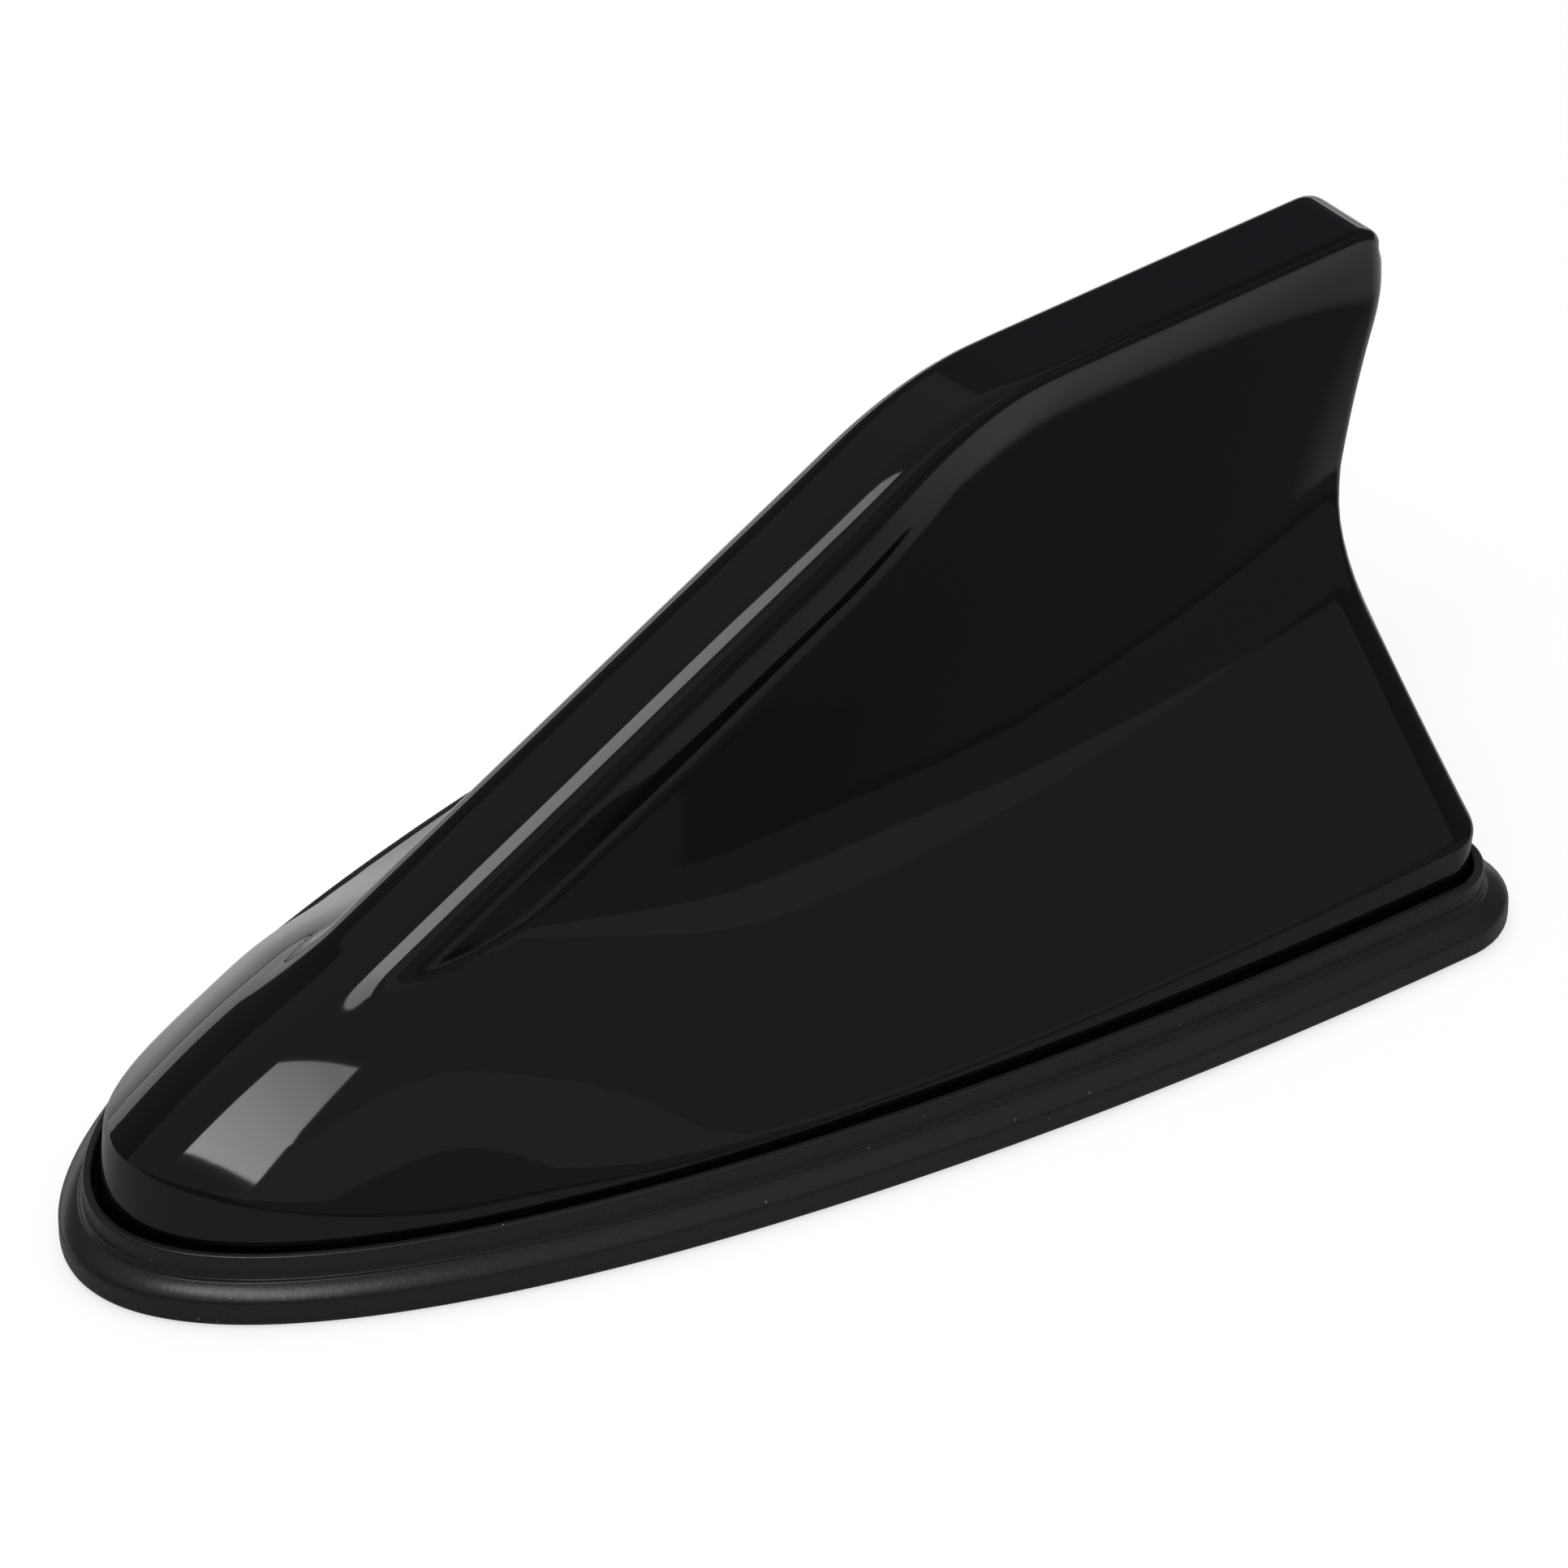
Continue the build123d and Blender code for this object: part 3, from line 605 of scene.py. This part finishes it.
# %% Gasket mesh
def arc(cx, cz, r, start, end, steps):
    """Profile places round an arc: inset, height."""
    turns = np.radians(np.linspace(start, end, steps))
    return [(cx + r * math.cos(a), cz + r * math.sin(a)) for a in turns]


FLANGE, INNER, LIP_TOP = 3.2, 7.0, 7.0
profile = [(INNER, 0.0), (3.0, 0.0)]
profile += arc(-1.63, 1.2, 1.2, 270, 180, 7)
profile += arc(-1.93, 2.71, 0.9, 180, 130, 7)
profile += arc(1.02, -0.81, 5.5, 130, 105, 9)[1:]
profile += [(-0.42, 4.52), (-0.15, 4.6), (-0.03, 4.8), (0.0, 5.1)]
profile += arc(0.3, LIP_TOP, 0.3, 180, 90, 5) + arc(0.8, LIP_TOP, 0.3, 90, 0, 5)
profile += [(1.1, FLANGE + 0.3), (1.4, FLANGE), (INNER, FLANGE)]
rings = [[(x, y, height) for x, y in base_outline(inset)] for inset, height in profile + profile[:1]]
gasket = np.array([ring + ring[:1] for ring in rings]).transpose(1, 0, 2)
draped("gasket_ring", gasket, rubber, "sealing_gasket")

# %% [markdown]
# ## Inside and below
# The pieces inside and below are plain mouldings, sheet metal and parts on a board. They keep their
# frame solids; only their finishes are given here. A fine noise varies the roughness, as no real surface
# is even. Real texture is finer than the 0.6 mm used here, which is as coarse as it needs to show.

# %% Mouldings and parts on the board
TEXTURE, UNEVEN = 0.6 * MM, 0.06


def plain(name, code, roughness, metallic=0.0):
    """A finish of one colour whose gloss varies a little."""
    mat, tree, shader, coords = material(name)
    shader.inputs["Base Color"].default_value = linear(code)
    shader.inputs["Metallic"].default_value = metallic
    noise = add(tree, "ShaderNodeTexNoise", {"Vector": coords}, Scale=1 / TEXTURE, Detail=2.0)
    spread = add(tree, "ShaderNodeMapRange", {"Value": noise.outputs["Fac"]},
                 To_Min=roughness - UNEVEN, To_Max=roughness + UNEVEN)
    tree.links.new(spread.outputs["Result"], shader.inputs["Roughness"])
    return mat


finishes = {
    "base_plate": plain("abs_black_textured", "#1c1c1e", 0.55),  # spark-eroded tool: dull and even
    "adhesive_pad": plain("foam_tape_grey", "#2c2c2e", 0.85),  # open foam: no shine at all
    "cable_grommet": rubber,
    "amplifier_board": plain("glass_epoxy_green", "#1d5a34", 0.35),  # lacquered: a soft sheen
    "plate_holder": plain("abs_natural", "#c9c6ba", 0.45),  # undyed plastic: warm white, half dull
    "coil_former": plain("nylon_black", "#202022", 0.5),  # moulded nylon: waxy and dull
    "amplifier_chip": plain("epoxy_black", "#141415", 0.45),  # moulded case: dark, half dull
    "chip_resistors": plain("resistor_black", "#1a1a1c", 0.4),  # glazed film: dark, some gloss
    "chip_capacitors": plain("ceramic_tan", "#b08a5c", 0.4),  # fired ceramic: tan, some gloss
    "chip_inductors": plain("ferrite_grey", "#3b3b3d", 0.5),  # pressed ferrite: grey and dull
    "foam_strip": plain("foam_black", "#1e1e1f", 0.9),  # open foam: no shine at all
}
print("finishes", len(finishes))

# %% [markdown]
# ## Metals
# Screws are zinc-plated steel, the folded sheets are tinned, and the coil and its strip are bare copper.
# All are shiny with a slight blur, so they take their look from what is around them.

# %% Metals
steel = plain("zinc_plated_steel", "#c8c8c6", 0.32, 1.0)  # passivated zinc: pale and a little dull
tin = plain("tinned_sheet", "#d2d1cc", 0.28, 1.0)  # dipped tin: warm, soft mirror
copper = plain("copper_bare", "#c87b4f", 0.25, 1.0)  # drawn copper: red-brown, bright
metals = {
    "cover_screws": steel, "board_screws": steel, "holder_screws": steel,
    "capacity_plate": tin, "shield_can": tin, "cable_clamp": tin,
    "helical_coil": copper, "contact_strip": copper,
}
for name, mat in {**finishes, **metals}.items():
    dress(nodes[name], mat)
print("dressed", len(finishes) + len(metals), "nodes")

# %% [markdown]
# ## Floor
# The fin stands on white paper. The camera sees the paper as white, with the fin's own soft shadow. The
# gloss sees it as it is lit, but with painted shade beside the fin, where the paper is drawn grey for the
# shade that falls there, and with a dark table where it ends a hand's breadth in front, because that is
# what the black sides mirror.

# %% Floor
FLOOR_HALF = 0.7
PAPER, GLOW, SHADE = 0.85, 0.72, 0.35
bm = bmesh.new()
bmesh.ops.create_grid(bm, x_segments=1, y_segments=1, size=FLOOR_HALF)
floor = as_object("floor", bm)
paper, tree, shader, coords = material("paper_white")
tree.nodes.remove(shader)
axes = add(tree, "ShaderNodeSeparateXYZ", {"Vector": coords})
zone = {}
# The zone beside the fin is painted shade: the gloss sees grey paper there in place of the paper's shade.
for name, axis, edge, soft, dark in (("side", "X", 0.09, 0.02, 0.35), ("near", "Y", -0.088, 0.02, 0.18),
                                     ("back", "Y", 0.03, 0.03, 0.0)):
    zone[name] = add(tree, "ShaderNodeMapRange", {"Value": axes.outputs[axis]}, From_Min=edge - soft,
                     From_Max=edge + soft, To_Min=dark, To_Max=PAPER).outputs["Result"]
front = add(tree, "ShaderNodeMath", {0: zone["side"], 1: zone["near"]}, operation="MINIMUM")
bright = add(tree, "ShaderNodeMath", {0: front.outputs[0], 1: zone["back"]}, operation="MAXIMUM")
lit = add(tree, "ShaderNodeBsdfDiffuse", {"Color": bright.outputs[0]})
shadow = add(tree, "ShaderNodeBsdfDiffuse", Color=(SHADE, SHADE, SHADE, 1))
glow = add(tree, "ShaderNodeEmission", Color=(1, 1, 1, 1), Strength=GLOW)
sheet = add(tree, "ShaderNodeAddShader", {0: shadow.outputs[0], 1: glow.outputs[0]})
path = add(tree, "ShaderNodeLightPath")
mix = add(tree, "ShaderNodeMixShader",
          {0: path.outputs["Is Camera Ray"], 1: lit.outputs[0], 2: sheet.outputs[0]})
tree.links.new(mix.outputs[0], tree.nodes["Material Output"].inputs["Surface"])
dress(floor, paper)
floor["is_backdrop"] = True
print("floor", 2 * FLOOR_HALF, "m wide")

# %% [markdown]
# ## Soft box
# One soft box hangs overhead, in front and to the left. It makes the window on the nose and the long
# bright line on the spine's edge. On black gloss its outline is the outline of the highlight, so it is a
# glowing four-sided cloth drawn by its corners, brighter at the end towards the nose.

# %% Soft box
BOX_HEIGHT = 1.0
BOX_CORNERS = [(-0.533, 0.076), (-0.486, -0.764), (-0.118, -0.405), (-0.232, 0.118)]
BOX_NOSE_END, BOX_TAIL_END, BOX_BRIGHT, BOX_DIM = -0.53, -0.18, 6.6, 3.2
bm = bmesh.new()
bm.faces.new([bm.verts.new((x, y, BOX_HEIGHT)) for x, y in BOX_CORNERS])
key = as_object("key_box", bm)
key.visible_camera = False
cloth, tree, shader, coords = material("soft_box_cloth")
tree.nodes.remove(shader)
axes = add(tree, "ShaderNodeSeparateXYZ", {"Vector": coords})
fade = add(tree, "ShaderNodeMapRange", {"Value": axes.outputs["X"]}, From_Min=BOX_NOSE_END,
           From_Max=BOX_TAIL_END, To_Min=BOX_BRIGHT, To_Max=BOX_DIM)
lit = add(tree, "ShaderNodeEmission", {"Strength": fade.outputs["Result"]}, Color=(1, 1, 1, 1))
tree.links.new(lit.outputs[0], tree.nodes["Material Output"].inputs["Surface"])
dress(key, cloth)
key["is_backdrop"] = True
print("soft box", BOX_HEIGHT, "m up")

# %% [markdown]
# ## Lamps
# A dim ceiling greys the upper faces. A low bright backdrop behind the fin lights its far side at a
# grazing angle. In front hang four panels of falling height, one behind another, whose glow grows softly
# towards the middle of the hull. A fill lamp that the gloss does not see lifts the paper and the rubber.


# %% Lamps
def soft_box(name, place, aim, size, radiance):
    """A rectangular lamp; the radiance is what a mirror would show, so watts follow from its area."""
    lamp = bpy.data.lights.new(name, "AREA")
    lamp.shape = "RECTANGLE"
    lamp.size, lamp.size_y = size
    lamp.energy = radiance * math.pi * size[0] * size[1]
    box = bpy.data.objects.new(name, lamp)
    bpy.context.collection.objects.link(box)
    box.location = place
    sight = Vector(aim) - Vector(place)
    box.rotation_euler = sight.to_track_quat("-Z", "Y").to_euler() if sight.xy.length else (0, 0, 0)
    box.visible_camera = False
    return box


FRONT_HEIGHTS, FRONT_RADIANCE = (1.4, 1.2, 1.0, 0.8), 0.085
soft_box("ceiling", (-0.2, -0.3, 1.25), (-0.2, -0.3, 0), (2.1, 2.8), 0.14)
soft_box("backdrop", (0.3, 1.3, 0.16), (0.0, 0.0, 0.05), (3.2, 0.32), 1.0)
for tall in FRONT_HEIGHTS:
    soft_box("front_glow", (0.6, -1.3, 0.75), (0.6, 0.0, 0.05), (3.6, tall), FRONT_RADIANCE)
fill = soft_box("fill", (0.2, 0.2, 1.5), (0.2, 0.2, 0), (2.0, 2.0), 1.3)
fill.visible_glossy = False
print("lamps", [lamp.name for lamp in bpy.data.lights])

# %% [markdown]
# ## Room
# The room around is an even dark grey, which the gloss mirrors where no lamp is. The camera sees white
# there instead, so that the picture's ground is white to its edges. Colours are shown as written.

# %% Room
world = bpy.data.worlds.new("studio")
bpy.context.scene.world = world
world.use_nodes = True
tree = world.node_tree
path = add(tree, "ShaderNodeLightPath")
room = tree.nodes["Background"]
room.inputs["Color"].default_value = linear("#595b60")
room.inputs["Strength"].default_value = 1.0
white = add(tree, "ShaderNodeBackground", Color=(1, 1, 1, 1), Strength=1.0)
mix = add(tree, "ShaderNodeMixShader",
          {0: path.outputs["Is Camera Ray"], 1: room.outputs[0], 2: white.outputs[0]})
tree.links.new(mix.outputs[0], tree.nodes["World Output"].inputs["Surface"])
bpy.context.scene.view_settings.view_transform = "Standard"
print("world", world.name)

# %% [markdown]
# ## Sizes and finish
# The box round all drawn pieces is printed. The drawn pieces must not be larger than
# the frame's.

# %% Sizes and finish
low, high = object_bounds()
print("visual box", [round(c, 4) for c in low], [round(c, 4) for c in high])
